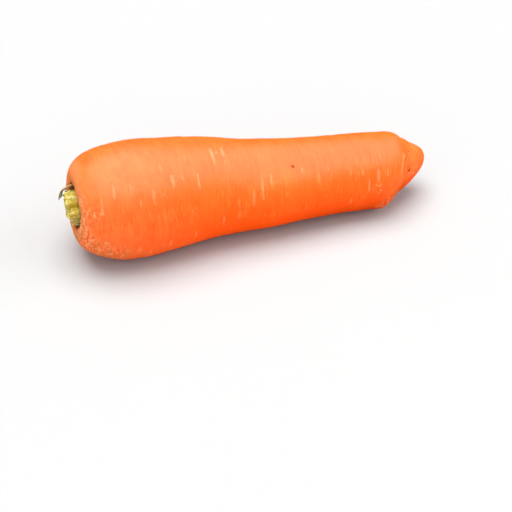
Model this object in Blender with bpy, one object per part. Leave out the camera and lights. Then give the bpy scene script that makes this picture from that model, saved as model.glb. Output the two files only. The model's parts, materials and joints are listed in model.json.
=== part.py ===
"""A fresh topped carrot lying on its side: the root, the cut leaf stalks in its crown and one dry stalk.

The root is a turned profile swept along a slightly bent axis. A place on it is given by how far it is
along the axis from the crown, and by the angle round the axis, which is 0 at the top and grows towards
-Y. The crown is at -X and the tip at +X, and the carrot lies on the plane z = 0.
"""

import bisect
import math
import random

import bmesh
import bpy
from mathutils import Vector

MM = 0.001

# The root: its length, and its outline as (distance from the crown, radius) from the socket to the tip.
# The outline's point number RIM_POINT is where the socket's rim turns into the shoulder.
LENGTH = 172.2 * MM
SOCKET_DEPTH = 4.6 * MM
SOCKET_RADIUS = 10.0 * MM
PROFILE_MM = [
    (4.6, 0.0), (4.6, 4.5), (4.4, 8.6), (2.9, 9.7), (1.1, 10.0), (0.2, 11.1), (0.0, 13.2), (0.6, 16.0),
    (3.2, 19.7), (9.0, 23.1), (18.0, 25.6), (29.0, 26.4), (43.0, 25.1), (62.0, 22.9), (83.0, 20.8),
    (104.0, 19.3), (124.0, 18.6), (139.0, 18.6), (146.5, 18.2), (151.0, 16.7), (154.2, 14.1),
    (157.5, 12.7), (162.0, 10.7), (166.7, 8.2), (170.1, 5.1), (171.8, 2.3), (172.2, 0.0),
]
RIM_POINT = 6
PROFILE_STEPS = 24
SEGMENTS = 44
CROWN_GAP = 1.5 * MM
BODY_GAP = 2.7 * MM
TIP_GAP = 1.8 * MM
CROWN_ENDS = 6.0 * MM
TIP_STARTS = 140.0 * MM

# The axis: how far it swings towards +Y, and how much the last bit of the tip lifts.
BEND_MM = [
    (0.0, 0.2), (30.0, 0.8), (62.0, 2.6), (93.0, 1.3), (124.0, 2.0), (145.0, 2.0), (157.0, 4.6), (170.0, 9.6),
]
BEND_STEPS = 12
TIP_LIFT = 1.4 * MM

# The two low places that the root lies on, and how much of each is pressed flat.
BELLY_REST = 36.0 * MM
TAIL_REST = 139.0 * MM
BELLY_FLAT = 0.35 * MM
TAIL_FLAT = 0.30 * MM

# The step where the blunt tip leaves the body slants: it comes later on the back, at this angle.
SLANT = 5.0 * MM
SLANT_ANGLE = math.radians(-36)
SLANT_CENTRE = 152.0 * MM
SLANT_REACH = 15.0 * MM

# Swellings all along the root, as (share of the radius, times round, turns of twist per metre, start).
SWELLINGS = [(0.012, 2, 6.0, 0.4), (0.007, 3, -8.6, 1.9), (0.004, 5, 11.6, 0.7)]
RELIEF_STARTS = 2.0 * MM
RELIEF_FULL = 20.0 * MM
RELIEF_FADES = 156.0 * MM

# Broad swells that only this carrot has: (mm from the crown, degrees round, reach along in mm, reach
# round in degrees, height in mm).
SWELLS = [
    (9, -36, 7, 60, 0.35), (17, 146, 9, 45, 0.5), (56, -36, 12, 45, 0.35), (77, -36, 8, 45, -0.4),
    (88, 146, 12, 45, 0.4), (146, -36, 5, 45, -0.4), (149.5, 138, 4, 36, 1.3), (154, -36, 4, 45, -0.8),
    (161, 140, 4, 45, 0.5), (150.5, 0, 3, 30, 0.45), (153.2, 2, 2.2, 35, 0.5), (156, 10, 3, 35, -0.4),
    (167.5, -2, 5, 55, -1.1), (166, 112, 5, 35, -0.5), (161.5, -12, 3, 45, -0.5), (162, 125, 4, 35, -0.5),
]
SWELLS_FULL = 6.0 * MM

# Shallow creases that run part of the way round.
CREASES = 16
CREASES_FROM = 14.0 * MM
CREASES_TO = 142.0 * MM
CREASE_DEPTH = 0.35 * MM
CREASE_WIDTH = 2.4 * MM

# The cut leaf stalks: a spiral of curved stubs on a common base that fills the socket.
STALKS = 12
GOLDEN_ANGLE = math.radians(137.5)
BUNDLE_RADIUS = 9.2 * MM
BUNDLE_SPREAD = 0.45
STALK_WIDTH = 8.8 * MM
STALK_THICKNESS = 3.3 * MM
STALK_RISE = 3.0 * MM
BASE_RADIUS = 7.7 * MM
BASE_GAP = 0.3 * MM
BASE_HEIGHT = 2.2 * MM
CUT_SLOPE = 0.12
CUT_SLANT = 0.10
ROOM = 1.0 * MM
ROOM_ANGLE = math.radians(-30)
FIRST_ANGLE = 0.5
YOUNGEST_WIDTH = 0.42
YOUNGEST_THICKNESS = 0.75
SHORTEST_RISE = 0.6
STALK_TAPER = 0.10
STALKS_SIDE = 0.6 * MM
STALK_STEPS = 6
BASE_SEGMENTS = 28

# The dry stalk: its path as (outward from the rim, up, towards -Y), its thickness, and its width as
# (share of the path's points, width).
DRY_PATH_MM = [(-2.4, 7.5, -4.4), (-0.9, 7.85, -4.5), (0.2, 7.6, -4.55), (1.2, 7.0, -4.6), (2.35, 6.4, -4.6),
               (3.4, 5.8, -4.6), (3.95, 4.6, -4.55), (4.5, 2.8, -4.4), (5.1, 1.1, -4.2)]
DRY_WIDTHS_MM = [(0.0, 1.2), (0.2, 2.2), (0.42, 2.2), (0.58, 1.3), (0.85, 1.5), (1.0, 0.5)]
DRY_THICKNESS = 0.7 * MM
DRY_STEPS = 3
DRY_SIDES = 8


def clear_scene():
    for item in list(bpy.data.objects):
        bpy.data.objects.remove(item)


def smooth_step(low, high, at):
    share = min(1.0, max(0.0, (at - low) / (high - low)))
    return share * share * (3 - 2 * share)


def spline(points, per_span):
    """Points along a smooth curve through the given ones, with per_span steps between two of them."""
    ends = [2 * points[0] - points[1], *points, 2 * points[-1] - points[-2]]
    made = []
    for before, start, end, after in zip(ends, ends[1:], ends[2:], ends[3:]):
        for step in range(per_span):
            t = step / per_span
            made.append(0.5 * (2 * start + (end - before) * t
                               + (2 * before - 5 * start + 4 * end - after) * t ** 2
                               + (3 * start - before - 3 * end + after) * t ** 3))
    return [*made, points[-1]]


def height_at(points, at):
    """The value at a place on a dense curve of (place, value) points. It runs straight on past their ends."""
    number = bisect.bisect_left(points, at, 1, len(points) - 1, key=lambda point: point[0])
    start, end = points[number - 1], points[number]
    return start[1] + (end[1] - start[1]) * (at - start[0]) / (end[0] - start[0])


PROFILE = spline([Vector(point) * MM for point in PROFILE_MM], PROFILE_STEPS)
OUTSIDE = PROFILE[RIM_POINT * PROFILE_STEPS:]
BEND = spline([Vector(point) * MM for point in BEND_MM], BEND_STEPS)


def ring_places():
    """The profile walked in steps that are finer at the crown and at the tip."""
    places = [PROFILE[0]]
    walked = 0.0
    for start, end in zip(PROFILE, PROFILE[1:]):
        walked += (end - start).length
        gap = BODY_GAP
        if end[0] < CROWN_ENDS:
            gap = CROWN_GAP
        elif end[0] > TIP_STARTS:
            gap = TIP_GAP
        if walked >= gap:
            places.append(end)
            walked = 0.0
    if (PROFILE[-1] - places[-1]).length < TIP_GAP / 2:
        places.pop()
    return [*places, PROFILE[-1]]


def rest_height(at):
    """The axis's height: straight, so that both low places reach just under z = 0."""
    belly = height_at(OUTSIDE, BELLY_REST) - BELLY_FLAT
    tail = height_at(OUTSIDE, TAIL_REST) - TAIL_FLAT
    share = (at - BELLY_REST) / (TAIL_REST - BELLY_REST)
    lift = TIP_LIFT * smooth_step(SLANT_CENTRE - SLANT_REACH / 2, LENGTH, at)
    return belly + (tail - belly) * share + lift


def axis_point(at):
    return Vector((at, height_at(BEND, at), rest_height(at)))


def axis_frame(at):
    """The axis's direction there, the upward direction square to it, and the one towards -Y."""
    step = 2 * MM
    along = (axis_point(at + step) - axis_point(at - step)).normalized()
    up = (Vector((0, 0, 1)) - along * along.z).normalized()
    return along, up, along.cross(up)


def on_axis(at, angle, radius):
    along, up, side = axis_frame(at)
    return axis_point(at) + (up * math.cos(angle) + side * math.sin(angle)) * radius


def crown_point(outward, up_by, side_by):
    """A point given from the middle of the rim's plane."""
    along, up, side = axis_frame(0.0)
    return axis_point(0.0) - along * outward + up * up_by + side * side_by


def make_creases():
    """Each crease as (distance, angle of its middle, half its length round, depth)."""
    draw = random.Random(11)
    made = []
    for number in range(CREASES):
        at = CREASES_FROM + (CREASES_TO - CREASES_FROM) * (number + draw.uniform(0.1, 0.9)) / CREASES
        angle = number * GOLDEN_ANGLE + draw.uniform(-0.5, 0.5)
        made.append((at, angle, draw.uniform(0.5, 1.1), CREASE_DEPTH * draw.uniform(0.5, 1.0)))
    return made


CREASE_LIST = make_creases()


def relief(at, angle):
    """How far the skin stands from the turned profile, as a change of radius."""
    fade = smooth_step(RELIEF_STARTS, RELIEF_FULL, at) * (1 - smooth_step(RELIEF_FADES, LENGTH, at))
    change = 0.0
    for share, times, twist, start in SWELLINGS:
        change += share * math.sin(times * angle + math.tau * twist * at + start)
    change *= height_at(OUTSIDE, at) * fade
    for place, middle, half, depth in CREASE_LIST:
        round_by = math.remainder(angle - middle, math.tau) / half
        along_by = (at - place) / CREASE_WIDTH
        if abs(round_by) < 1 and abs(along_by) < 2:
            change -= depth * (1 - round_by ** 2) * math.exp(-2 * along_by ** 2)
    full = min(1.0, height_at(OUTSIDE, at) / SWELLS_FULL)
    for place, degrees, along_reach, round_reach, height in SWELLS:
        along_by = (at / MM - place) / along_reach
        round_by = math.remainder(angle - math.radians(degrees), math.tau) / math.radians(round_reach)
        change += height * MM * full * math.exp(-along_by ** 2 - round_by ** 2)
    return change


def slanted(at, angle):
    """The distance along the axis after the slant of the tip's step."""
    share = max(0.0, 1 - ((at - SLANT_CENTRE) / SLANT_REACH) ** 2)
    return at + SLANT * share * share * math.cos(angle - SLANT_ANGLE)


def add_rings(mesh, rings):
    """Joins rings of points into one closed skin. A ring of one point is an end."""
    rows = [[mesh.verts.new(point) for point in ring] for ring in rings]
    for near, far in zip(rows, rows[1:]):
        count = max(len(near), len(far))
        for i in range(count):
            after = i + 1
            corners = [near[i % len(near)], near[after % len(near)], far[after % len(far)], far[i % len(far)]]
            mesh.faces.new(list(dict.fromkeys(corners)))
    for row in (rows[0], rows[-1]):
        if len(row) > 2:
            mesh.faces.new(row)
    bmesh.ops.recalc_face_normals(mesh, faces=mesh.faces)


def finish(mesh, name, material):
    data = bpy.data.meshes.new(name)
    mesh.to_mesh(data)
    mesh.free()
    data.materials.append(material)
    data.shade_smooth()
    data.set_sharp_from_angle(angle=math.radians(40))
    item = bpy.data.objects.new(name, data)
    bpy.context.scene.collection.objects.link(item)
    return item


def paint(name, colour, roughness):
    material = bpy.data.materials.new(name)
    material.use_nodes = True
    shader = material.node_tree.nodes["Principled BSDF"]
    shader.inputs["Base Color"].default_value = (*colour, 1)
    shader.inputs["Roughness"].default_value = roughness
    shader.inputs["Metallic"].default_value = 0
    material.diffuse_color = (*colour, 1)
    return material


def make_root(skin):
    rings = []
    for at, radius in ring_places():
        if radius == 0:
            rings.append([axis_point(at)])
            continue
        ring = []
        for number in range(SEGMENTS):
            angle = math.tau * number / SEGMENTS
            place = slanted(at, angle)
            outside = radius > SOCKET_RADIUS
            ring.append(on_axis(place, angle, radius + (relief(at, angle) if outside else 0)))
        rings.append(ring)
    mesh = bmesh.new()
    add_rings(mesh, rings)
    press_flat(mesh)
    return finish(mesh, "carrot_root", skin)


def press_flat(mesh):
    """Cuts away what lies under z = 0, which leaves a flat spot at each low place."""
    every = [*mesh.verts, *mesh.edges, *mesh.faces]
    cut = bmesh.ops.bisect_plane(
        mesh, geom=every, dist=1e-6, plane_co=(0, 0, 0), plane_no=(0, 0, -1), clear_outer=True,
    )
    edges = [item for item in cut["geom_cut"] if isinstance(item, bmesh.types.BMEdge)]
    bmesh.ops.edgeloop_fill(mesh, edges=edges)
    bmesh.ops.recalc_face_normals(mesh, faces=mesh.faces)


def stalk_section(radius, angle, width, thickness, outward, tilt):
    """A crescent round the crown's middle, at one height. Its ends are thinner than its middle."""
    bend = 0.5 / max(radius, 0.6 * width)
    points = []
    for face in (1, -1):
        for number in range(STALK_STEPS + 1):
            share = face * (1 - 2 * number / STALK_STEPS)
            thick = thickness / 2 * math.sqrt(1 - 0.8 * share ** 2)
            across = share * width / 2
            reach = radius - bend * across ** 2 + face * thick
            up_by = reach * math.cos(angle) - across * math.sin(angle)
            side_by = reach * math.sin(angle) + across * math.cos(angle)
            lean = tilt * (up_by * math.cos(angle + 1) + side_by * math.sin(angle + 1))
            points.append(crown_point(outward + lean, up_by, side_by + STALKS_SIDE))
    return points


def make_stalk(number, draw):
    """One stub: older ones stand further out and are wider. Its top is a slanting cut."""
    age = 1 - number / (STALKS - 1)
    angle = number * GOLDEN_ANGLE + FIRST_ANGLE
    width = STALK_WIDTH * (YOUNGEST_WIDTH + (1 - YOUNGEST_WIDTH) * age)
    thickness = STALK_THICKNESS * (YOUNGEST_THICKNESS + (1 - YOUNGEST_THICKNESS) * age)
    radius = (BUNDLE_RADIUS - thickness / 2) * age ** BUNDLE_SPREAD
    radius -= ROOM * age * max(0.0, math.cos(angle - ROOM_ANGLE)) ** 2
    rise = STALK_RISE * draw.uniform(SHORTEST_RISE, 1.0) + CUT_SLANT * radius * math.cos(angle)
    slope = CUT_SLOPE * draw.uniform(-1.0, 1.0)
    foot = -SOCKET_DEPTH + BASE_GAP + BASE_HEIGHT / 2
    rings = []
    for share in (0.0, 0.35, 0.7, 1.0):
        outward = foot + (rise - foot) * share
        narrow = 1 - STALK_TAPER * share
        rings.append(stalk_section(radius, angle, width * narrow, thickness * narrow, outward, slope * share))
    mesh = bmesh.new()
    add_rings(mesh, rings)
    return mesh


def make_base():
    """The disc that the stubs grow from. It lies in the socket with a small gap all round."""
    foot = -SOCKET_DEPTH + BASE_GAP
    rings = [[crown_point(foot, 0, 0)]]
    for height, width in ((0.0, 0.8), (0.25, 0.95), (1.0, 1.0), (1.3, 0.8)):
        outward = foot + height * BASE_HEIGHT
        radius = width * BASE_RADIUS
        ring = []
        for number in range(BASE_SEGMENTS):
            angle = math.tau * number / BASE_SEGMENTS
            ring.append(crown_point(outward, radius * math.cos(angle), radius * math.sin(angle)))
        rings.append(ring)
    rings.append([crown_point(foot + 1.4 * BASE_HEIGHT, 0, 0)])
    mesh = bmesh.new()
    add_rings(mesh, rings)
    return mesh


def make_stalks(green):
    base = finish(make_base(), "leaf_stalk_stubs", green)
    parts = bpy.data.collections.new("stubs")
    bpy.context.scene.collection.children.link(parts)
    draw = random.Random(478)
    for number in range(STALKS):
        stub = finish(make_stalk(number, draw), f"stub_{number}", green)
        bpy.context.scene.collection.objects.unlink(stub)
        parts.objects.link(stub)
    union = base.modifiers.new("join", "BOOLEAN")
    union.operation = "UNION"
    union.operand_type = "COLLECTION"
    union.collection = parts
    union.solver = "EXACT"
    bpy.context.view_layer.objects.active = base
    bpy.ops.object.modifier_apply(modifier=union.name)
    for stub in list(parts.objects):
        bpy.data.objects.remove(stub)
    bpy.data.collections.remove(parts)
    return base


def make_dry_stalk(brown):
    """A thin strip that leaves the socket beside the stubs and folds down in front of them."""
    path = spline([Vector(point) * MM for point in DRY_PATH_MM], DRY_STEPS)
    sideways = Vector((0, 0, 1))
    rings = []
    for number, point in enumerate(path):
        before = path[max(0, number - 1)]
        after = path[min(len(path) - 1, number + 1)]
        along = (after - before).normalized()
        width = height_at(DRY_WIDTHS_MM, number / (len(path) - 1)) * MM
        across = (sideways - along * along.z).normalized() * width / 2
        outwards = along.cross(across).normalized() * DRY_THICKNESS / 2
        ring = []
        for side in range(DRY_SIDES):
            turn = math.tau * side / DRY_SIDES
            ring.append(crown_point(*(point + across * math.cos(turn) + outwards * math.sin(turn))))
        rings.append(ring)
    mesh = bmesh.new()
    add_rings(mesh, rings)
    return finish(mesh, "dry_leaf_stalk", brown)


def centre(items):
    """Moves the meshes so that the origin is under the middle of their box. The height stays."""
    points = [vertex.co for item in items for vertex in item.data.vertices]
    middle = Vector((
        (min(p.x for p in points) + max(p.x for p in points)) / 2,
        (min(p.y for p in points) + max(p.y for p in points)) / 2,
        0,
    ))
    for item in items:
        for vertex in item.data.vertices:
            vertex.co -= middle


def main():
    clear_scene()
    root = make_root(paint("carrot skin", (0.87, 0.19, 0.03), 0.42))
    stubs = make_stalks(paint("cut leaf stalk", (0.52, 0.50, 0.12), 0.6))
    dry = make_dry_stalk(paint("dry leaf stalk", (0.30, 0.24, 0.11), 0.8))
    centre([root, stubs, dry])


main()
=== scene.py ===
"""The looks of a fresh topped carrot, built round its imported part.

The root is turned straight along +X, carved there, and then bent along its axis. A place on it is given
by how far it is from the crown and by its angle round the axis, 0 at the top and growing towards -Y.
"""

import json
import math
import random

import bpy
import numpy as np
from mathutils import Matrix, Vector, noise

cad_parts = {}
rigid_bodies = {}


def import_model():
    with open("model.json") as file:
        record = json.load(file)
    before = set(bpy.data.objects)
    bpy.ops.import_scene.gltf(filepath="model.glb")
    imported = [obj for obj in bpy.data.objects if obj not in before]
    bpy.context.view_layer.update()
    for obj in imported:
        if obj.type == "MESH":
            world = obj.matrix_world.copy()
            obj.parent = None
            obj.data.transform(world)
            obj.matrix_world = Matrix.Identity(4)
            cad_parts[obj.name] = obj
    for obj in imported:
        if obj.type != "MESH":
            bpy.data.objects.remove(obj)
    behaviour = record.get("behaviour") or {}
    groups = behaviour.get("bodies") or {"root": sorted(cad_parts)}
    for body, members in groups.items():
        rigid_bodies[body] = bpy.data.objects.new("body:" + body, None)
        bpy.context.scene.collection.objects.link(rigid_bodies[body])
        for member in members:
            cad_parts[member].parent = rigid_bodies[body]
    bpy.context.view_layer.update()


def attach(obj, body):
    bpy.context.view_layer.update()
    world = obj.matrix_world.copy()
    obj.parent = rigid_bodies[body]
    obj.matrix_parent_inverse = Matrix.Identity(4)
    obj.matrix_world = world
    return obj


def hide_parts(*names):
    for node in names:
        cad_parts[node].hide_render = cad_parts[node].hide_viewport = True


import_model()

MM = 0.001
BODY = "root"
SEED_STEP = np.array([17.3, 5.1, 9.7])

# The root's outline, from the socket's floor round the rim to the tip: (distance from the crown, radius).
PROFILE_MM = [
    (4.6, 4.5), (4.4, 8.6), (2.9, 9.7), (1.1, 10.0), (0.2, 11.1), (0.0, 13.2), (0.6, 16.0),
    (3.2, 19.7), (9.0, 23.1), (18.0, 25.6), (29.0, 26.4), (43.0, 25.1), (62.0, 22.9), (83.0, 20.8),
    (104.0, 19.3), (124.0, 18.6), (139.0, 18.6), (146.5, 18.2), (151.0, 16.7), (154.2, 14.1),
    (157.5, 12.7), (162.0, 10.7), (166.7, 8.2), (170.1, 5.1), (171.8, 2.3), (172.2, 0.6),
]
LENGTH = 172.2 * MM
RIM_POINT = 5
PROFILE_STEPS = 24
SOCKET_DEPTH = 4.6 * MM
CROWN_DEPTH = 6.0 * MM

# The rim is pressed in on one side, and round its inner edge it is folded and lumpy.
RIM_DENT = 1.0 * MM
RIM_DENT_ANGLE = math.radians(78)
RIM_DENT_REACH = math.radians(42)
RIM_DENT_RADII = (12.0 * MM, 21.0 * MM)
RIM_DENT_PLACES = (3.0 * MM, 8.0 * MM)
RIM_FOLDS_RADIUS = 11.8 * MM
RIM_FOLDS_REACH = 2.2 * MM
RIM_FOLD = 0.12 * MM
RIM_LUMP = 0.45 * MM
SOCKET_EDGE = (9.9 * MM, 11.2 * MM)

# The tan skin round the socket: its radius, how much wider it gets and where, and the width of its edge.
TAN_RADIUS = 14.5 * MM
TAN_WIDENS = 3.5 * MM
TAN_WIDEST = math.radians(-45)
TAN_FADES = 4.0 * MM

# The worn skin, and paler skin that is painted light low on the side near the camera: where the wear ends on
# the crown, between which places the paler skin fades on the body, and the middle of both.
WORN_CROWN = 9.0 * MM
WEAR_AND_LIGHT_BODY = (12.0 * MM, 62.0 * MM)
WEAR_AND_LIGHT_ANGLE = math.radians(100)

# The axis: its swing towards +Y, the lift of its tip, the two places it rests on, and the tip's slant.
BEND_MM = [
    (0.0, 0.2), (30.0, 0.8), (62.0, 2.6), (93.0, 1.3), (124.0, 2.0), (145.0, 2.0), (157.0, 4.6), (170.0, 9.6),
]
BEND_STEPS = 12
TIP_LIFT = 1.4 * MM
BELLY_REST = 36.0 * MM
TAIL_REST = 139.0 * MM
BELLY_FLAT = 0.35 * MM
TAIL_FLAT = 0.30 * MM
SLANT = 5.0 * MM
SLANT_ANGLE = math.radians(-36)
SLANT_CENTRE = 152.0 * MM
SLANT_REACH = 15.0 * MM
CROWN_PLACE = Vector((-83.621, -0.949, 0.0)) * MM

# Swellings and creases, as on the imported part.
SWELLINGS = [(0.012, 2, 6.0, 0.4), (0.007, 3, -8.6, 1.9), (0.004, 5, 11.6, 0.7)]
RELIEF_STARTS = 2.0 * MM
RELIEF_FULL = 20.0 * MM
RELIEF_FADES = 156.0 * MM
CREASES = 16
CREASES_SEED = 11
CREASES_FROM = 14.0 * MM
CREASES_TO = 142.0 * MM
CREASE_DEPTH = 0.35 * MM
CREASE_WIDTH = 2.4 * MM
CREASE_REACHES = (0.5, 1.1)
CREASE_SHARES = (0.5, 1.0)
GOLDEN_ANGLE = math.radians(137.5)

# The root's mesh: sides of the turned ring, rings, and the wish for close rings at crown and tip.
ROOT_SIDES = 24
ROOT_RINGS = 62
CROWN_GAP = 1.6 * MM
BODY_GAP = 4.3 * MM
TIP_GAP = 2.2 * MM
CROWN_ENDS = 8.0 * MM
TIP_STARTS = 142.0 * MM
ROOT_LEVELS = 3

# Broad swells that only this carrot has: (mm from the crown, degrees round, reach along in mm, reach
# round in degrees, height in mm).
SWELLS = [
    (9, -36, 7, 60, 0.35), (17, 146, 9, 45, 0.5), (56, -36, 12, 45, 0.35), (77, -36, 8, 45, -0.4),
    (88, 146, 12, 45, 0.4), (146, -36, 5, 45, -0.4), (149.5, 138, 4, 36, 1.3), (154, -36, 4, 45, -0.8),
    (161, 140, 4, 45, 0.5), (150.5, 0, 3, 30, 0.45), (153.2, 2, 2.2, 35, 0.5), (156, 10, 3, 35, -0.4),
    (167.5, -2, 5, 55, -1.1), (166, 112, 5, 35, -0.5), (161.5, -12, 3, 45, -0.5), (162, 125, 4, 35, -0.5),
]
SWELLS_FULL = 6.0 * MM

# Fine lumps and ripples: (height in mm, waves a millimetre along, up and sideways, seed).
FINE_RELIEF = [(0.16, (0.09, 0.07, 0.07), 1), (0.06, (0.35, 0.16, 0.16), 2), (0.05, (0.9, 0.07, 0.07), 3)]

# Pale slits in the skin: (mm from the crown, degrees round, length in mm, width in mm, strength).
SLITS = [
    (14.2, 49, 5.5, 1.4, 0.9), (8.8, 59, 6.4, 1.1, 0.8), (21.2, 48, 4.8, 1.7, 0.5),
    (30.2, 58, 6.4, 1.5, 0.9), (24.5, 63, 3.4, 1.0, 0.9), (39.1, 46, 5.2, 2.0, 0.9),
    (51.2, 49, 7.2, 1.5, 0.8), (61.1, 20, 8.0, 1.9, 1.0), (66.5, 14, 5.8, 1.6, 0.9),
    (63.5, 16, 1.2, 1.1, 0.9), (66.7, 29, 4.6, 1.1, 0.5), (35.1, 32, 5.0, 1.4, 0.5),
    (44.6, 24, 4.5, 1.0, 0.4), (47.3, 22, 4.0, 1.0, 0.4), (49.4, 39, 5.0, 1.0, 0.4),
    (71.7, 78, 6.4, 0.9, 0.7), (63.9, 99, 5.6, 1.0, 1.0), (49.4, 112, 4.0, 1.6, 1.0),
    (24.3, 116, 4.2, 1.9, 1.0), (29.6, 125, 3.0, 1.8, 1.0), (37.6, 115, 3.8, 1.6, 1.0),
    (13.8, 115, 3.6, 1.8, 1.0), (78.8, 74, 6.8, 1.4, 0.9), (83.0, 64, 9.3, 1.3, 0.9),
    (87.1, 55, 5.6, 1.2, 0.8), (101.4, 46, 2.8, 1.6, 0.7), (113.9, 47, 3.4, 0.9, 0.6),
    (125.2, 57, 3.0, 0.9, 0.6), (131.4, 59, 3.2, 1.3, 0.7), (127.6, 69, 2.6, 0.8, 0.5),
    (134.5, 78, 6.0, 1.2, 0.9), (138.9, 66, 5.2, 1.4, 1.0), (143.1, 63, 3.6, 1.1, 0.8),
    (93.3, 75, 2.8, 1.1, 0.5), (111.9, 85, 1.2, 0.9, 0.5), (125.9, 102, 3.2, 1.2, 0.9),
    (150.6, 45, 2.8, 1.9, 1.0), (150.1, 59, 8.0, 1.3, 0.9), (12.5, 37, 3.6, 1.0, 0.4),
    (72.2, 95, 4.6, 1.0, 0.8),
]
SLIT_DEPTH = 0.16 * MM
SLIT_LENGTH_SHARE = 0.72
SLIT_WIDTH_SHARE = 0.43

# Slits on the sides away from the camera: how many, the first place and the stretch along (mm) and round
# (degrees), and what the length (mm), width (mm) and strength of each are drawn from.
FAR_SLITS = 44
FAR_SLITS_SEED = 23
FAR_SLITS_ALONG = (6, 142)
FAR_SLITS_ROUND = (140, 200)
FAR_SLIT_SIZES = [(2.4, 8.0), (0.8, 1.8), (0.4, 1.0)]

# Places where thin pale scars curl over the skin: (mm from the crown, degrees round, reach in mm, strength).
SCARS = [
    (3.9, 72, 3.6, 1.0), (6.4, 70, 3.0, 0.9), (0.6, 52, 2.6, 0.8), (0.5, 78, 2.6, 0.8),
    (1.6, 96, 3.6, 1.0), (2.2, 113, 4.6, 1.0), (0.6, 122, 4.2, 1.0), (3.3, 128, 4.2, 1.0),
    (4.6, 108, 3.4, 1.0), (10.3, 108, 3.2, 0.7), (8.0, 122, 3.0, 0.7), (34.7, 59, 2.2, 0.4),
    (47.9, 79, 2.2, 0.4), (43.5, 44, 1.8, 0.4), (139.1, 86, 2.6, 1.0), (143.6, 124, 2.8, 1.0),
    (146.5, 112, 2.6, 1.0), (148.0, 122, 2.6, 1.0), (158.5, 84, 2.8, 0.9),
]

# Painted shade in the crease under the shoulder before the tip and along the underside, and a darker patch by
# the crown: (mm from the crown, degrees round, reach in mm, strength).
SHADE_AND_DARK_SKIN = [
    (154.0, 106, 4.0, 1.0), (151.2, 99, 3.0, 0.8), (149.0, 104, 3.0, 0.8), (157.0, 126, 4.5, 1.0),
    (146.0, 126, 5.0, 0.5), (142.0, 134, 13.0, 0.7), (118.0, 134, 15.0, 0.5), (5.0, 74, 5.0, 0.38),
]

# Paler, duller skin, beside the crown's own; low on the side near the camera by the crown it is painted
# light: (mm from the crown, degrees round, reach in mm, strength).
PALE_SKIN = [
    (13.0, 126, 13.0, 0.6), (34.0, 128, 12.0, 0.35), (160.5, 25, 6.0, 0.5), (159.0, 62, 9.0, 0.6),
    (151.0, 88, 8.0, 0.5), (48.0, 126, 9.0, 0.2),
]

# Dark pits: (mm from the crown, degrees round, radius in mm, depth in mm).
PITS = [
    (97.6, 39, 0.95, 0.3), (156.0, 75, 1.1, 0.5), (151.7, 51, 0.7, 0.2), (155.8, 37, 0.6, 0.2),
    (158.2, 17, 0.6, 0.2),
]

# The cut leaf stalks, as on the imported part.
STALKS = 12
STALKS_SEED = 478
STALK_SIDES = 20
BUNDLE_RADIUS = 9.2 * MM
BUNDLE_SPREAD = 0.45
STALK_WIDTH = 8.8 * MM
STALK_THICKNESS = 3.3 * MM
STALK_RISE = 3.0 * MM
BASE_RADIUS = 7.7 * MM
BASE_GAP = 0.3 * MM
BASE_HEIGHT = 2.2 * MM
BASE_SIDES = 28
BASE_OUTLINE = [(0.0, 0.8), (0.25, 0.95), (1.0, 1.0), (1.3, 0.8), (1.4, 0.1)]
CUT_SLOPE = 0.12
ROOM = 1.0 * MM
ROOM_ANGLE = math.radians(-30)
FIRST_ANGLE = 0.5
YOUNGEST_WIDTH = 0.42
YOUNGEST_THICKNESS = 0.75
SHORTEST_RISE = 0.6
CUT_SLANT = 0.10
CUT_FACE = 0.999
STALK_TAPER = 0.10
STALKS_SIDE = 0.6 * MM

# The ragged cuts: (height in mm, waves a millimetre along, up and sideways, seed).
RAGGED = [(0.7, (1.0, 0.7, 0.7), 5), (0.35, (1.0, 1.9, 1.9), 6)]

# Where the bundle is stained a deep olive: mm from the middle of the rim's plane.
OLIVE_SPOT_MM = (0.0, -7.0, 5.0)

# The dry stalk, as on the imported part.
DRY_PATH_MM = [(-2.4, 7.5, -4.4), (-0.9, 7.85, -4.5), (0.2, 7.6, -4.55), (1.2, 7.0, -4.6), (2.35, 6.4, -4.6),
               (3.4, 5.8, -4.6), (3.95, 4.6, -4.55), (4.5, 2.8, -4.4), (5.1, 1.1, -4.2)]
DRY_WIDTHS_MM = [(0.0, 1.2), (0.2, 2.2), (0.42, 2.2), (0.58, 1.3), (0.85, 1.5), (1.0, 0.5)]
DRY_THICKNESS = 0.6 * MM
DRY_STEPS = 12
DRY_RINGS = 22
DRY_SIDES = 10

# The skin's colours.
SKIN_DEEP = (0.90, 0.073, 0.004)
SKIN_LIGHT = (0.92, 0.095, 0.008)
SKIN_BAND = (0.93, 0.120, 0.014)
SKIN_LINE = (0.94, 0.150, 0.022)
SKIN_GROOVE = (0.86, 0.052, 0.004)
# Painted shade: the deeper orange of the underside.
SKIN_UNDERSIDE_SHADE = (0.86, 0.066, 0.001)
SKIN_FLECK = (0.95, 0.16, 0.02)
# Painted shade, and darker skin by the crown.
SKIN_SHADE_AND_DARK = (0.46, 0.042, 0.003)
# Wear on the crown, and painted light on the paler skin low on the near side.
SKIN_WEAR_AND_LIGHT = (0.64, 0.163, 0.046)
SKIN_PALE_STROKE = (0.80, 0.28, 0.115)
SKIN_DARK_STROKE = (0.56, 0.10, 0.022)
RIM_TAN = (0.50, 0.165, 0.052)
SCAR_SHADE = (0.50, 0.075, 0.012)
SCAR_PALE = (0.84, 0.29, 0.12)
SLIT_PALE = (0.95, 0.172, 0.056)
PIT_DARK = (0.15, 0.035, 0.006)
SOCKET_BROWN = (0.20, 0.085, 0.025)

# The cut stalks' colours.
STALK_OLIVE = (0.24, 0.165, 0.008)
STALK_YELLOW = (0.38, 0.33, 0.045)
STALK_CREAM = (0.52, 0.46, 0.19)
STALK_SHADE = (0.21, 0.125, 0.006)
STALK_CUT = (0.40, 0.34, 0.11)
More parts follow.
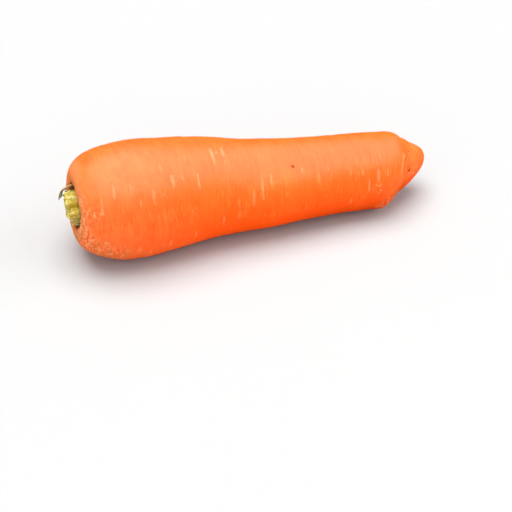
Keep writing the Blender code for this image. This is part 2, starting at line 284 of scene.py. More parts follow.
# Painted light: the flank towards -Y and the underside are lighter.
STALK_FLANK_LIGHT = (0.56, 0.42, 0.075)
STALK_UNDERSIDE_LIGHT = (0.56, 0.47, 0.15)
STALK_STAIN = (0.30, 0.20, 0.006)
STALK_SPECK = (0.22, 0.13, 0.04)
STALK_FOOT = (0.18, 0.09, 0.02)

# The dry stalk's colours.
DRY_BROWN = (0.30, 0.17, 0.045)
DRY_GREY = (0.20, 0.165, 0.075)
DRY_FLECK = (0.10, 0.06, 0.02)
DRY_EDGE = (0.085, 0.040, 0.012)

# The floor, and how bright the white world round it is.
FLOOR_SIZE = 40.0
WORLD_STRENGTH = 0.55

# The camera: its turn, height, lens and distance, and the point that it looks at.
CAMERA_AZIMUTH = math.radians(-18)
CAMERA_ELEVATION = math.radians(36)
CAMERA_LENS = 85.0
CAMERA_DISTANCE = 0.580
CAMERA_AIM = Vector((1.19, -0.98, -18.1)) * MM


def spline(points, steps):
    """A smooth curve through the points, with this many steps between two of them."""
    points = np.array(points, float)
    ends = np.vstack([2 * points[0] - points[1], points, 2 * points[-1] - points[-2]])
    before, start, end, after = (ends[i:len(ends) - 3 + i, None] for i in range(4))
    t = (np.arange(steps) / steps)[None, :, None]
    made = 0.5 * (2 * start + (end - before) * t + (2 * before - 5 * start + 4 * end - after) * t ** 2
                  + (3 * start - before - 3 * end + after) * t ** 3)
    return np.vstack([made.reshape(-1, points.shape[1]), points[-1]])


def run_on(curve, reach=20 * MM):
    """A curve of (place, value) that runs straight on past both ends."""
    first = (curve[1] - curve[0]) / (curve[1, 0] - curve[0, 0])
    last = (curve[-1] - curve[-2]) / (curve[-1, 0] - curve[-2, 0])
    return np.vstack([curve[0] - reach * first, curve, curve[-1] + reach * last])


PROFILE = spline(PROFILE_MM, PROFILE_STEPS) * MM
OUTSIDE = PROFILE[RIM_POINT * PROFILE_STEPS:]
BEND = run_on(spline(BEND_MM, BEND_STEPS) * MM)


def radius_at(at):
    """The outline's radius at each distance from the crown."""
    return np.interp(at, OUTSIDE[:, 0], OUTSIDE[:, 1])


def smooth_step(low, high, at):
    """0 below low, 1 above high, and smooth between."""
    share = np.clip((at - low) / (high - low), 0, 1)
    return share * share * (3 - 2 * share)


def axis_points(at):
    """The axis's points. Seen from the side it is straight, with both resting places just under z = 0."""
    belly = radius_at(BELLY_REST) - BELLY_FLAT
    tail = radius_at(TAIL_REST) - TAIL_FLAT
    share = (at - BELLY_REST) / (TAIL_REST - BELLY_REST)
    lift = TIP_LIFT * smooth_step(SLANT_CENTRE - SLANT_REACH / 2, LENGTH, at)
    return np.stack([at, np.interp(at, BEND[:, 0], BEND[:, 1]), belly + (tail - belly) * share + lift], -1)


def unit(vectors):
    return vectors / np.linalg.norm(vectors, axis=-1, keepdims=True)


def axis_frames(at):
    """At each place: the axis's direction, the upward direction square to it, and the one towards -Y."""
    step = 2 * MM
    along = unit(axis_points(at + step) - axis_points(at - step))
    up = unit(np.array([0.0, 0.0, 1.0]) - along * along[..., 2:])
    return along, up, np.cross(along, up)


def crown_points(outward, up_by, side_by):
    """Points given from the middle of the rim's plane, in the part's frame."""
    along, up, side = axis_frames(np.array(0.0))
    offset = -np.multiply.outer(outward, along)
    offset = offset + np.multiply.outer(up_by, up) + np.multiply.outer(side_by, side)
    return axis_points(np.array(0.0)) + offset + np.array(CROWN_PLACE)


def slanted(at, turn):
    """Each place moved along the axis so that the shoulder before the tip lies aslant."""
    share = np.maximum(0, 1 - ((at - SLANT_CENTRE) / SLANT_REACH) ** 2)
    return at + SLANT * share * share * np.cos(turn - SLANT_ANGLE)


def wrap(turn):
    """Each angle between half a turn back and half a turn on."""
    return (turn + math.pi) % math.tau - math.pi


def only(piece):
    """Deselects everything else and makes this piece the one that the tools act on."""
    bpy.ops.object.select_all(action="DESELECT")
    piece.select_set(True)
    bpy.context.view_layer.objects.active = piece
    return piece


def apply_modifier(piece, kind, **settings):
    modifier = piece.modifiers.new(kind.lower(), kind)
    for name, value in settings.items():
        setattr(modifier, name, value)
    only(piece)
    bpy.ops.object.modifier_apply(modifier=modifier.name)


def subdivide(piece, levels):
    apply_modifier(piece, "SUBSURF", levels=levels, render_levels=levels)


def draw_out(name, places, sides):
    """Extrudes a filled ring along +X through (place, radius) pairs, into one closed straight piece."""
    bpy.ops.object.select_all(action="DESELECT")
    place, radius = places[0]
    bpy.ops.mesh.primitive_circle_add(
        vertices=sides, radius=radius, fill_type="TRIFAN",
        location=(place, 0, 0), rotation=(0, math.pi / 2, 0),
    )
    piece = bpy.context.object
    piece.name = name
    bpy.ops.object.transform_apply(location=True, rotation=True, scale=True)
    bpy.ops.object.mode_set(mode="EDIT")
    bpy.ops.mesh.select_all(action="SELECT")
    for (place, radius), (far_place, far_radius) in zip(places, places[1:]):
        bpy.ops.mesh.extrude_region_move(TRANSFORM_OT_translate={"value": (far_place - place, 0, 0)})
        widen = far_radius / radius
        bpy.ops.transform.resize(value=(1, widen, widen), center_override=(far_place, 0, 0))
    bpy.ops.mesh.select_all(action="SELECT")
    bpy.ops.mesh.normals_make_consistent(inside=False)
    bpy.ops.object.mode_set(mode="OBJECT")
    return piece


def points_of(piece):
    points = np.zeros(len(piece.data.vertices) * 3, np.float32)
    piece.data.vertices.foreach_get("co", points)
    return points.reshape(-1, 3).astype(float)


def set_points(piece, points):
    piece.data.vertices.foreach_set("co", points.astype(np.float32).ravel())
    piece.data.update()


def paint_points(piece, name, values):
    """Keeps a number or a vector for each point under a name, for the materials to read."""
    kind, field = ("FLOAT_VECTOR", "vector") if values.ndim == 2 else ("FLOAT", "value")
    attribute = piece.data.attributes.new(name, kind, "POINT")
    attribute.data.foreach_set(field, values.astype(np.float32).ravel())


def noise_at(points, per_mm, seed):
    """Smooth noise from -1 to 1 at each point, with this many waves a millimetre on each axis."""
    scaled = points / MM * np.array(per_mm) + seed * SEED_STEP
    return np.array([noise.noise(point) for point in scaled])


def root_places():
    """The places of the turned rings: the profile cut into steps that are shorter at crown and tip."""
    steps = np.linalg.norm(np.diff(PROFILE, axis=0), axis=1)
    middles = (PROFILE[1:, 0] + PROFILE[:-1, 0]) / 2
    gaps = np.where(middles < CROWN_ENDS, CROWN_GAP, np.where(middles > TIP_STARTS, TIP_GAP, BODY_GAP))
    walked = np.concatenate([[0], np.cumsum(steps / gaps)])
    wanted = np.linspace(0, walked[-1], ROOT_RINGS)
    # Subdivision pulls a ring's corners in, so they start this much further out.
    swell = 3 / (2 + math.cos(math.tau / ROOT_SIDES))
    at = np.interp(wanted, walked, PROFILE[:, 0])
    radii = np.interp(wanted, walked, PROFILE[:, 1]) * swell
    return list(zip(at.tolist(), radii.tolist()))


def main_relief(at, turn):
    """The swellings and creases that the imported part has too, as a change of radius."""
    fade = smooth_step(RELIEF_STARTS, RELIEF_FULL, at) * (1 - smooth_step(RELIEF_FADES, LENGTH, at))
    change = np.zeros_like(at)
    for share, times, twist, start in SWELLINGS:
        change += share * np.sin(times * turn + math.tau * twist * at + start)
    change *= radius_at(at) * fade
    draw = random.Random(CREASES_SEED)
    for number in range(CREASES):
        place = CREASES_FROM + (CREASES_TO - CREASES_FROM) * (number + draw.uniform(0.1, 0.9)) / CREASES
        middle = number * GOLDEN_ANGLE + draw.uniform(-0.5, 0.5)
        half = draw.uniform(*CREASE_REACHES)
        depth = CREASE_DEPTH * draw.uniform(*CREASE_SHARES)
        round_by = wrap(turn - middle) / half
        along_by = (at - place) / CREASE_WIDTH
        change -= depth * np.maximum(0, 1 - round_by ** 2) * np.exp(-2 * along_by ** 2)
    return change


def far_slits():
    """Slits on the sides away from the camera, about as many to the area as on the side that it sees."""
    draw = random.Random(FAR_SLITS_SEED)
    first_place, places = FAR_SLITS_ALONG
    first_turn, turns = FAR_SLITS_ROUND
    made = []
    for number in range(FAR_SLITS):
        place = first_place + places * (number + draw.random()) / FAR_SLITS
        turn = first_turn + turns * draw.random()
        made.append((place, turn, *(draw.uniform(*limits) for limits in FAR_SLIT_SIZES)))
    return made


def slit_field(at, turn):
    """From 0 outside every slit to 1 in the middle of a strong one."""
    field = np.zeros_like(at)
    for place, degrees, length, width, strength in [*SLITS, *far_slits()]:
        middle_radius = radius_at(place * MM)
        round_by = wrap(turn - math.radians(degrees)) * middle_radius / (length * MM * SLIT_LENGTH_SHARE)
        along_by = (at - place * MM) / (width * MM * SLIT_WIDTH_SHARE)
        one = strength * np.maximum(0, 1 - round_by ** 2) * np.exp(-along_by ** 2)
        field = np.maximum(field, one)
    return field


def spot_field(at, turn, spots):
    """Soft round spots, given as (mm from the crown, degrees round, reach in mm, strength in the middle)."""
    field = np.zeros_like(at)
    for place, degrees, reach, strength in spots:
        round_by = wrap(turn - math.radians(degrees)) * radius_at(place * MM)
        one = strength * np.exp(-((at - place * MM) ** 2 + round_by ** 2) / (reach * MM) ** 2)
        field = np.maximum(field, one)
    return field


def skin_change(at, turn, straight, slit):
    """How much the radius changes at each point of the straight root, outside the socket."""
    fine = sum(height * noise_at(straight, per_mm, seed) for height, per_mm, seed in FINE_RELIEF)
    change = main_relief(at, turn) + fine * MM * smooth_step(0, RELIEF_FULL / 2, at) - SLIT_DEPTH * slit
    full = np.minimum(1, radius_at(at) / SWELLS_FULL)
    for place, degrees, along_reach, round_reach, height in SWELLS:
        along_by = (at / MM - place) / along_reach
        round_by = wrap(turn - math.radians(degrees)) / math.radians(round_reach)
        change += height * MM * full * np.exp(-along_by ** 2 - round_by ** 2)
    return change - MM * spot_field(at, turn, PITS)


def rim_change(at, turn, far, straight):
    """How far the rim's folds, lumps and dent move each point along the axis."""
    near_folds = np.exp(-((far - RIM_FOLDS_RADIUS) / RIM_FOLDS_REACH) ** 2) * (at < CROWN_DEPTH)
    folds = 0.5 * np.sin(17 * turn + 2 * np.sin(3 * turn)) + 0.5 * np.sin(29 * turn + 1.3)
    lumps = noise_at(straight, (0.2, 0.22, 0.22), 4)
    near_dent = (1 - smooth_step(*RIM_DENT_RADII, far)) * (1 - smooth_step(*RIM_DENT_PLACES, at))
    dent = np.exp(-((wrap(turn - RIM_DENT_ANGLE) / RIM_DENT_REACH) ** 2))
    return near_folds * (RIM_FOLD * folds + RIM_LUMP * lumps) + RIM_DENT * near_dent * dent


def wear_and_painted_light_field(at, turn):
    """Worn skin all over the crown, and paler skin fading along the root that is painted light, most of both
    on the side near the camera.
    """
    crown = 1 - smooth_step(0, WORN_CROWN, at)
    body = 1 - smooth_step(*WEAR_AND_LIGHT_BODY, at)
    wear_and_painted_light = 0.6 * crown + 0.4 * body
    wear_and_painted_light *= 0.58 + 0.42 * np.cos(turn - WEAR_AND_LIGHT_ANGLE)
    return np.clip(wear_and_painted_light + spot_field(at, turn, PALE_SKIN), 0, 1)


def rim_field(at, turn, far):
    """The tan skin round the socket, widest on its upper side away from the camera."""
    ends = TAN_RADIUS + TAN_WIDENS * (0.5 + 0.5 * np.cos(turn - TAN_WIDEST))
    return (at < CROWN_DEPTH) * (1 - smooth_step(ends, ends + TAN_FADES, far))


def make_root():
    """The root, and where its pits are on it."""
    root = draw_out("root_skin", root_places(), ROOT_SIDES)
    subdivide(root, ROOT_LEVELS)
    points = points_of(root)
    at = points[:, 0]
    turn = np.arctan2(-points[:, 1], points[:, 2])
    far = np.hypot(points[:, 1], points[:, 2])
    straight = np.stack([at, np.cos(turn) * far, np.sin(turn) * far], -1)
    in_socket = (at < CROWN_DEPTH) & (far < OUTSIDE[0, 1])

    slit = np.where(in_socket, 0, slit_field(at, turn))
    outer = far + np.where(in_socket, 0, skin_change(at, turn, straight, slit))
    place = slanted(at, turn) + rim_change(at, turn, far, straight)
    _, up, side = axis_frames(place)
    lifted = up * (np.cos(turn) * outer)[:, None] + side * (np.sin(turn) * outer)[:, None]
    bent = axis_points(place) + lifted
    bent[:, 2] = np.maximum(bent[:, 2], 0)
    set_points(root, bent + np.array(CROWN_PLACE))

    # The skin's patterns follow the surface, by how far along it a point is from the rim.
    lengths = np.concatenate([[0], np.cumsum(np.linalg.norm(np.diff(OUTSIDE, axis=0), axis=1))])
    walked = np.where(in_socket, far - OUTSIDE[0, 1], np.interp(at, OUTSIDE[:, 0], lengths))
    on_skin = np.stack([walked, straight[:, 1], straight[:, 2]], -1) / MM
    paint_points(root, "on_skin", on_skin)
    paint_points(root, "slit", slit)
    paint_points(root, "scar", spot_field(at, turn, SCARS))
    paint_points(root, "dark", spot_field(at, turn, SHADE_AND_DARK_SKIN))
    paint_points(root, "socket", in_socket * (1 - smooth_step(*SOCKET_EDGE, far)))
    paint_points(root, "wear_and_painted_light", wear_and_painted_light_field(at, turn))
    paint_points(root, "rim", rim_field(at, turn, far))
    root.data.shade_smooth()
    return root, [on_skin[nearest(at, turn, along, degrees)] for along, degrees, _, _ in PITS]


def nearest(at, turn, along, degrees):
    """Which point of the root is nearest to a place on it."""
    round_by = wrap(turn - math.radians(degrees)) * radius_at(along * MM)
    return int(np.argmin(np.hypot(at - along * MM, round_by)))


def stalk_blank():
    """One straight stalk, 2 across, 2 thick and 1 long, from its foot at x = 0 to its cut at x = 1."""
    places = [(0.0, 1.0), (0.2, 1.0), (0.4, 1.0), (0.6, 1.0), (0.8, 1.0), (0.93, 1.0), (1.0, 0.97)]
    blank = draw_out("stalk", places, STALK_SIDES)
    bpy.ops.object.mode_set(mode="EDIT")
    bpy.ops.mesh.select_all(action="DESELECT")
    bpy.ops.object.mode_set(mode="OBJECT")
    for face in blank.data.polygons:
        face.select = face.center.x > CUT_FACE
    bpy.ops.object.mode_set(mode="EDIT")
    bpy.ops.mesh.inset(thickness=0.12, depth=0)
    bpy.ops.mesh.inset(thickness=0.1, depth=-0.08)
    bpy.ops.object.mode_set(mode="OBJECT")
    subdivide(blank, 2)
    return blank


def shape_stalk(piece, number, draw):
    """Turns a copy of the straight stalk into its curved stub, at its place in the spiral."""
    age = 1 - number / (STALKS - 1)
    angle = number * GOLDEN_ANGLE + FIRST_ANGLE
    width = STALK_WIDTH * (YOUNGEST_WIDTH + (1 - YOUNGEST_WIDTH) * age)
    thickness = STALK_THICKNESS * (YOUNGEST_THICKNESS + (1 - YOUNGEST_THICKNESS) * age)
    radius = (BUNDLE_RADIUS - thickness / 2) * age ** BUNDLE_SPREAD
    radius -= ROOM * age * max(0.0, math.cos(angle - ROOM_ANGLE)) ** 2
    rise = STALK_RISE * draw.uniform(SHORTEST_RISE, 1.0) + CUT_SLANT * radius * math.cos(angle)
    slope = CUT_SLOPE * draw.uniform(-1.0, 1.0)
    foot = -SOCKET_DEPTH + BASE_GAP + BASE_HEIGHT / 2
    points = points_of(piece)
    height, across, thick = points[:, 0], points[:, 1], points[:, 2]
    narrow = 1 - STALK_TAPER * height
    ribs = 0.09 * np.cos(9 * across) * smooth_step(0.2, 0.9, np.abs(thick))
    across_by = across * width / 2 * narrow
    bend = 0.5 / max(radius, 0.6 * width)
    reach = radius - bend * across_by ** 2 + (thick * (1 + ribs)) * thickness / 2 * narrow
    up_by = reach * math.cos(angle) - across_by * math.sin(angle)
    side_by = reach * math.sin(angle) + across_by * math.cos(angle)
    lean = slope * height * (up_by * math.cos(angle + 1) + side_by * math.sin(angle + 1))
    spread = np.stack([np.full_like(across_by, number * 9 * MM), up_by, side_by], -1)
    ragged = sum(size * MM * noise_at(spread, per_mm, seed) for size, per_mm, seed in RAGGED)
    outward = foot + (rise - foot) * height + lean + ragged * height ** 4
    set_points(piece, crown_points(outward, up_by, side_by + STALKS_SIDE))


def make_stalks():
    """The stubs and the disc they grow from, joined into one closed body."""
    blank = stalk_blank()
    parts = bpy.data.collections.new("stubs")
    bpy.context.scene.collection.children.link(parts)
    draw = random.Random(STALKS_SEED)
    for number in range(STALKS):
        stub = bpy.data.objects.new(f"stub_{number}", blank.data.copy())
        parts.objects.link(stub)
        shape_stalk(stub, number, draw)
    bpy.data.objects.remove(blank)
    foot = -SOCKET_DEPTH + BASE_GAP
    outline = [(height * BASE_HEIGHT, width * BASE_RADIUS) for height, width in BASE_OUTLINE]
    base = draw_out("cut_stalks", outline, BASE_SIDES)
    points = points_of(base)
    set_points(base, crown_points(foot + points[:, 0], points[:, 1], points[:, 2]))
    apply_modifier(
        base, "BOOLEAN", operation="UNION", operand_type="COLLECTION", collection=parts, solver="MANIFOLD",
    )
    for stub in list(parts.objects):
        bpy.data.objects.remove(stub)
    bpy.data.collections.remove(parts)
    turn_faces_out(base)
    base.data.shade_smooth()
    base.data.set_sharp_from_angle(angle=math.radians(50))
    return base


def turn_faces_out(piece):
    only(piece)
    bpy.ops.object.mode_set(mode="EDIT")
    bpy.ops.mesh.select_all(action="SELECT")
    bpy.ops.mesh.normals_make_consistent(inside=False)
    bpy.ops.object.mode_set(mode="OBJECT")


def make_dry_stalk():
    """A strip drawn out straight, then bent along its path over the stubs."""
    path = spline(np.array(DRY_PATH_MM) * MM, DRY_STEPS)
    walked = np.concatenate([[0], np.cumsum(np.linalg.norm(np.diff(path, axis=0), axis=1))])
    places = [(float(walked[-1] * ring / DRY_RINGS), 1 * MM) for ring in range(DRY_RINGS + 1)]
    strip = draw_out("dry_stalk", places, DRY_SIDES)
    subdivide(strip, 1)
    points = points_of(strip)
    at = np.clip(points[:, 0], 0, walked[-1])
    share = at / walked[-1]
    middle, after, before = (
        np.stack([np.interp(at + ahead, walked, path[:, i]) for i in range(3)], -1)
        for ahead in (0.0, 0.3 * MM, -0.3 * MM)
    )
    along = unit(after - before)
    across = unit(np.array([0.0, 0.0, 1.0]) - along * along[:, 2:])
    outwards = np.cross(along, across)
    twist = 1.3 * smooth_step(0.5, 0.72, share)
    wide, thin = points[:, 1] / MM, points[:, 2] / MM
    crumple = noise_at(np.stack([at, wide * MM, 0 * at], -1), (0.9, 0.6, 0.6), 7)
    widths = np.interp(share, *np.array(DRY_WIDTHS_MM).T) * MM
    wide_by = wide * widths / 2 * (1 + 0.25 * noise_at(points, (1.1, 0.4, 0.4), 8))
    thin_by = thin * DRY_THICKNESS / 2 + (0.22 * wide ** 2 - 0.11 + 0.2 * crumple) * MM
    torn = -0.9 * MM * smooth_step(0.8, 1, share) * smooth_step(-0.3, 0.9, wide)
    spot = middle + along * torn[:, None]
    spot += across * (wide_by * np.cos(twist) - thin_by * np.sin(twist))[:, None]
    spot += outwards * (wide_by * np.sin(twist) + thin_by * np.cos(twist))[:, None]
    set_points(strip, crown_points(spot[:, 0], spot[:, 1], spot[:, 2]))
    paint_points(strip, "share", share)
    paint_points(strip, "edge", np.abs(wide))
    turn_faces_out(strip)
    strip.data.shade_smooth()
    return strip


class Flow:
    """A shader value. An expression on such values adds its Math nodes."""

    def __init__(self, socket):
        self.socket = socket

    def sum(self, operation, *values):
        node = self.socket.id_data.nodes.new("ShaderNodeMath")
        node.operation = operation
        for entry, value in zip(node.inputs, values):
            plug(entry, value)
        return Flow(node.outputs[0])

    def __add__(self, other):
        return self.sum("ADD", self, other)

    def __mul__(self, other):
        return self.sum("MULTIPLY", self, other)

    def __sub__(self, other):
        return self.sum("SUBTRACT", self, other)

    def __rsub__(self, other):
        return self.sum("SUBTRACT", other, self)

    def __abs__(self):
        return self.sum("ABSOLUTE", self)

    __radd__ = __add__


def plug(entry, value):
    """Links a value to a socket, or sets it there. A colour is given as its three parts."""
    if isinstance(value, Flow):
        entry.id_data.links.new(value.socket, entry)
    else:
        entry.default_value = (*value, 1.0) if entry.type == "RGBA" else value


class Finish:
    """A material and the nodes that make it."""

    def __init__(self, name, preview):
        self.material = bpy.data.materials.new(name)
        self.material.use_nodes = True
        self.material.diffuse_color = (*preview, 1)
        self.nodes = self.material.node_tree.nodes
        self.shader = self.nodes["Principled BSDF"]

    def node(self, kind, settings, values, out=0):
        """A node of this type, with its settings made first and then its sockets."""
        node = self.nodes.new(kind)
        for name, value in settings.items():
            setattr(node, name, value)
        for name, value in values.items():
            plug(node.inputs[name], value)
        return Flow(node.outputs[out])

    def attribute(self, name, out="Fac"):
        return self.node("ShaderNodeAttribute", {"attribute_name": name}, {}, out)

    def stretch(self, vector, per_unit):
        return self.node("ShaderNodeVectorMath", {"operation": "MULTIPLY"}, {0: vector, 1: per_unit})

    def noise(self, vector, per_unit, detail=2.0, rough=0.5):
        place = self.stretch(vector, per_unit)
        values = {"Vector": place, "Scale": 1.0, "Detail": detail, "Roughness": rough}
        return self.node("ShaderNodeTexNoise", {}, values)

    def ease(self, value, low, high):
        """0 below low, 1 above high, and smooth between. With low above high it falls."""
        settings = {"interpolation_type": "SMOOTHSTEP"}
        return self.node("ShaderNodeMapRange", settings, {0: value, 1: low, 2: high, 3: 0.0, 4: 1.0})

    def mix(self, share, colour, other):
        settings = {"data_type": "RGBA", "clamp_factor": True}
        values = {0: share, 6: colour, 7: other}
        return self.node("ShaderNodeMix", settings, values, 2)

    def part_of(self, vector, axis):
        return self.node("ShaderNodeSeparateXYZ", {}, {0: vector}, axis)

    def apart(self, vector, point):
        """How far a vector is from a fixed point."""
        return self.node("ShaderNodeVectorMath", {"operation": "DISTANCE"}, {0: vector, 1: point}, "Value")

    def bump(self, height, distance, strength):
        return self.node("ShaderNodeBump", {}, {"Height": height, "Distance": distance, "Strength": strength})

    def set(self, **sockets):
        for name, value in sockets.items():
            plug(self.shader.inputs[name.replace("_", " ")], value)
        return self.material


def skin_finish(pit_centres):
    """Orange root skin: soft mottling, fine lines round the root, pale slits, scars and dark pits."""
    skin = Finish("carrot skin", (0.87, 0.19, 0.03))
    place = skin.attribute("on_skin", "Vector")
    broad = skin.noise(place, (0.035, 0.05, 0.05), 2)
    blotch = skin.noise(place, (0.22, 0.16, 0.16), 3)
    bands = skin.noise(place, (0.55, 0.05, 0.05), 3, 0.6)
    lines = skin.noise(place, (1.5, 0.17, 0.17), 2, 0.6)
    grain = skin.noise(place, (1.6, 1.6, 1.6), 3, 0.6)
    patchy = skin.noise(place, (0.09, 0.11, 0.11), 2)

    depth = skin.ease(broad * 0.55 + blotch * 0.45, 0.3, 0.7)
    colour = skin.mix(depth, SKIN_DEEP, SKIN_LIGHT)
    band_share = skin.ease(bands, 0.42, 0.8)
    colour = skin.mix(band_share * 0.45, colour, SKIN_BAND)
    height_up = skin.part_of(place, "Y")
    # The lines fade on the top side, a painted highlight that washes them out there.
    lined = skin.ease(patchy, 0.42, 0.58) * (0.25 + skin.ease(height_up, 17.0, 8.0) * 0.75)
    line_share = skin.ease(lines, 0.47, 0.66) * lined
    colour = skin.mix(line_share * 0.6, colour, SKIN_LINE)
    colour = skin.mix(skin.ease(lines, 0.47, 0.3) * lined * 0.5, colour, SKIN_GROOVE)
    # Painted shade: the underside turns a deeper orange, less where the skin is paler.
    painted_underside_shade = skin.ease(height_up, -2.0, -10.0) * (1 - skin.attribute("wear_and_painted_light"))
    colour = skin.mix(painted_underside_shade * 0.6, colour, SKIN_UNDERSIDE_SHADE)
    fleck = skin.ease(grain, 0.60, 0.74) * skin.ease(blotch, 0.4, 0.6)
    colour = skin.mix(fleck * 0.35, colour, SKIN_FLECK)

    curl = skin.noise(place, (0.36, 0.33, 0.33), 1)
    broken = skin.ease(skin.noise(place, (0.62, 0.5, 0.5), 2), 0.43, 0.54)
    near_scar = skin.ease(skin.attribute("scar"), 0.1, 0.8) * broken
    scar = skin.ease(abs(curl - 0.5), 0.10, 0.03) * near_scar
    mottle = skin.ease(blotch * 0.5 + grain * 0.5, 0.3, 0.6)
    # Painted shade in the crease before the tip and on the underside, and darker skin by the crown.
    dark = skin.attribute("dark") * (0.6 + mottle * 0.4)
    colour = skin.mix(dark * 0.92, colour, SKIN_SHADE_AND_DARK)
    # Paler, duller skin: wear on the crown, and painted light low on the side near the camera.
    wear_and_painted_light = skin.attribute("wear_and_painted_light") * mottle
    colour = skin.mix(wear_and_painted_light * 0.88, colour, SKIN_WEAR_AND_LIGHT)
    near_rim = skin.ease(skin.attribute("wear_and_painted_light"), 0.68, 0.95)
    strokes = skin.noise(place, (1.0, 0.3, 0.3), 2)
    colour = skin.mix(skin.ease(strokes, 0.52, 0.62) * near_rim * 0.55, colour, SKIN_PALE_STROKE)
    colour = skin.mix(skin.ease(strokes, 0.47, 0.37) * near_rim * 0.5, colour, SKIN_DARK_STROKE)
    rim = skin.attribute("rim") * skin.ease(grain * 0.5 + blotch * 0.5, 0.25, 0.5)
    colour = skin.mix(rim * 0.9, colour, RIM_TAN)
    colour = skin.mix(skin.ease(abs(curl - 0.38), 0.06, 0.01) * near_scar * 0.6, colour, SCAR_SHADE)
    colour = skin.mix(scar * 0.75, colour, SCAR_PALE)
    ragged = skin.noise(place, (1.8, 0.5, 0.5), 2)
    slit = skin.ease(skin.attribute("slit") + (ragged - 0.5) * 1.1, 0.1, 0.8)
    colour = skin.mix(slit * 0.85, colour, SLIT_PALE)

    pitted = 0.0
    for centre, (_, _, reach, _) in zip(pit_centres, PITS):
        centre = tuple(float(part) for part in centre)
        pit = skin.ease(skin.apart(place, centre), reach * 1.1, reach * 0.5)
        colour = skin.mix(pit * 0.95, colour, PIT_DARK)
        pitted = pit + pitted

    socket = skin.attribute("socket")
    colour = skin.mix(skin.ease(socket, 0.1, 0.9), colour, SOCKET_BROWN)
    bare = skin.ease(pitted + dark + socket, 1.0, 0.0)

    rough = 0.40 + blotch * 0.2 + (grain - 0.5) * 0.16 + slit * 0.12 + rim * 0.3 + (socket + pitted) * 0.3
    height = lines * 0.4 + bands * 0.35 + blotch * 0.9 + grain * 0.3 - slit * 0.4 + scar * 0.6
    return skin.set(
        Base_Color=colour, Roughness=rough, Normal=skin.bump(height, 0.2 * MM, 0.9),
        Subsurface_Weight=0.12, Subsurface_Radius=(1.0, 0.35, 0.12), Subsurface_Scale=1.5 * MM,
        Specular_IOR_Level=0.0, Coat_Weight=(0.045 + lines * 0.03) * bare, Coat_Roughness=0.44,
    )


def stalk_finish():
    """Cut leaf stalk: yellow-green with fibres along it, pale at the cut and brown at its foot, with painted
    light on the flank towards -Y and on the underside.
    """
    stalk = Finish("cut leaf stalk", (0.52, 0.50, 0.12))
    place = stalk.node("ShaderNodeTexCoord", {}, {}, "Object")
    offset = tuple(-float(c) for c in crown_points(np.array(0.0), np.array(0.0), np.array(0.0)))
    centred = stalk.node("ShaderNodeVectorMath", {"operation": "ADD"}, {0: place, 1: offset})
    local = stalk.stretch(centred, (1 / MM, 1 / MM, 1 / MM))
    fibre = stalk.noise(local, (0.5, 1.5, 1.5), 3, 0.6)
    patch = stalk.noise(local, (0.55, 0.5, 0.5), 3, 0.6)
    speck = stalk.noise(local, (1.6, 1.6, 1.6), 2)
    colour = stalk.mix(stalk.ease(fibre, 0.38, 0.6), STALK_OLIVE, STALK_YELLOW)
    colour = stalk.mix(stalk.ease(patch, 0.5, 0.64) * 0.85, colour, STALK_CREAM)
    colour = stalk.mix(stalk.ease(patch, 0.46, 0.34) * 0.8, colour, STALK_SHADE)
    normal = stalk.node("ShaderNodeNewGeometry", {}, {}, "Normal")
    cut = stalk.ease(stalk.part_of(normal, "X") * -1.0, 0.55, 0.85)
    colour = stalk.mix(cut * 0.5, colour, STALK_CUT)
    # Painted light: the flank towards -Y and the underside are made lighter.
    lit_flank = stalk.ease(stalk.part_of(local, "Y"), -5.0, -8.5) * stalk.ease(fibre, 0.3, 0.5)
    colour = stalk.mix(lit_flank * 0.8, colour, STALK_FLANK_LIGHT)
    lit_underside = stalk.ease(stalk.part_of(local, "Z"), 3.0, -5.0) * stalk.ease(fibre, 0.3, 0.6)
    colour = stalk.mix(lit_underside * 0.75, colour, STALK_UNDERSIDE_LIGHT)
    stain = stalk.ease(stalk.apart(local, OLIVE_SPOT_MM) + (patch - 0.5) * 4.0, 3.6, 1.4)
    colour = stalk.mix(stain * 0.85, colour, STALK_STAIN)
    colour = stalk.mix(stalk.ease(speck, 0.60, 0.72) * 0.7, colour, STALK_SPECK)
    foot = stalk.ease(stalk.part_of(local, "X"), 0.6, 2.8)
    colour = stalk.mix(foot * 0.85, colour, STALK_FOOT)
    height = fibre * 0.7 + patch * 0.6 + speck * 0.4
    return stalk.set(
        Base_Color=colour, Roughness=0.62 + (fibre - 0.5) * 0.2, Normal=stalk.bump(height, 0.65 * MM, 0.9),
        Specular_IOR_Level=0.03,
    )


def dry_finish():
    """Dried stalk: brown where it leaves the crown, grey-green towards its end."""
    dry = Finish("dry leaf stalk", (0.30, 0.24, 0.11))
    place = dry.node("ShaderNodeTexCoord", {}, {}, "Object")
    local = dry.stretch(place, (1 / MM, 1 / MM, 1 / MM))
    fleck = dry.noise(local, (0.9, 0.9, 0.9), 3)
    share = dry.attribute("share")
    colour = dry.mix(dry.ease(share, 0.5, 0.65), DRY_BROWN, DRY_GREY)
    colour = dry.mix(dry.ease(fleck, 0.45, 0.7) * 0.6, colour, DRY_FLECK)
    brown = dry.ease(dry.attribute("edge"), 0.2, 0.75) * (1 - dry.ease(share, 0.55, 0.8) * 0.5)
    colour = dry.mix(brown * 0.92, colour, DRY_EDGE)
    return dry.set(
        Base_Color=colour, Roughness=0.75 + (fleck - 0.5) * 0.2, Normal=dry.bump(fleck, 0.15 * MM, 0.7),
        Specular_IOR_Level=0.03,
    )


def floor_finish():
    paper = Finish("pale floor", (0.36, 0.36, 0.36))
    place = paper.node("ShaderNodeTexCoord", {}, {}, "Object")
    cloud = paper.noise(place, (3.0, 3.0, 3.0), 2)
    colour = paper.mix(cloud, (0.355, 0.355, 0.355), (0.365, 0.365, 0.365))
    return paper.set(Base_Color=colour, Roughness=0.9, Specular_IOR_Level=0.0)


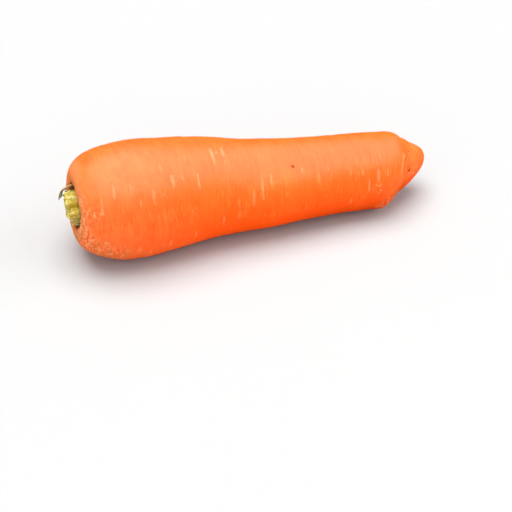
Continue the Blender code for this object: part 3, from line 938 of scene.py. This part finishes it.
def make_floor():
    bpy.ops.object.select_all(action="DESELECT")
    bpy.ops.mesh.primitive_plane_add(size=FLOOR_SIZE, location=(0, 0, 0))
    floor = bpy.context.object
    floor.name = "floor"
    floor.data.materials.append(floor_finish())


def soft_light(name, comes_from, degrees_wide, strength):
    """A lamp like the sun but far wider, so that the floor is lit evenly and the shadows are soft."""
    lamp = bpy.data.lights.new(name, "SUN")
    lamp.angle = math.radians(degrees_wide)
    lamp.energy = strength
    light = bpy.data.objects.new(name, lamp)
    light.rotation_euler = Vector(comes_from).to_track_quat("Z", "Y").to_euler()
    bpy.context.scene.collection.objects.link(light)
    return light


def make_lights():
    world = bpy.data.worlds.new("studio")
    bpy.context.scene.world = world
    world.use_nodes = True
    background = world.node_tree.nodes["Background"]
    background.inputs["Color"].default_value = (1, 1, 1, 1)
    background.inputs["Strength"].default_value = WORLD_STRENGTH
    soft_light("overhead", (-0.05, 0.08, 1.0), 56, 5.2)
    soft_light("front", (-0.45, -0.80, 0.50), 80, 1.9)
    soft_light("right", (0.80, -0.40, 0.45), 60, 1.9)
    # This lamp shows only in the skin's sheen.
    sheen = soft_light("sheen", (0.10, -0.04, 1.0), 104, 84.0)
    sheen.visible_diffuse = False
    bpy.context.scene.view_settings.view_transform = "Standard"


def make_camera():
    camera = bpy.data.objects.new("camera", bpy.data.cameras.new("camera"))
    camera.data.lens = CAMERA_LENS
    back = Vector((
        math.sin(CAMERA_AZIMUTH) * math.cos(CAMERA_ELEVATION),
        -math.cos(CAMERA_AZIMUTH) * math.cos(CAMERA_ELEVATION),
        math.sin(CAMERA_ELEVATION),
    ))
    camera.location = CAMERA_AIM + back * CAMERA_DISTANCE
    camera.rotation_euler = back.to_track_quat("Z", "Y").to_euler()
    bpy.context.scene.collection.objects.link(camera)
    bpy.context.scene.camera = camera


def place_piece(piece, finish, node):
    piece.data.materials.clear()
    piece.data.materials.append(finish)
    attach(piece, BODY)
    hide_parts(node)


make_camera()
make_lights()
make_floor()
root_skin, pit_centres = make_root()
place_piece(root_skin, skin_finish(pit_centres), "carrot_root")
place_piece(make_stalks(), stalk_finish(), "leaf_stalk_stubs")
place_piece(make_dry_stalk(), dry_finish(), "dry_leaf_stalk")
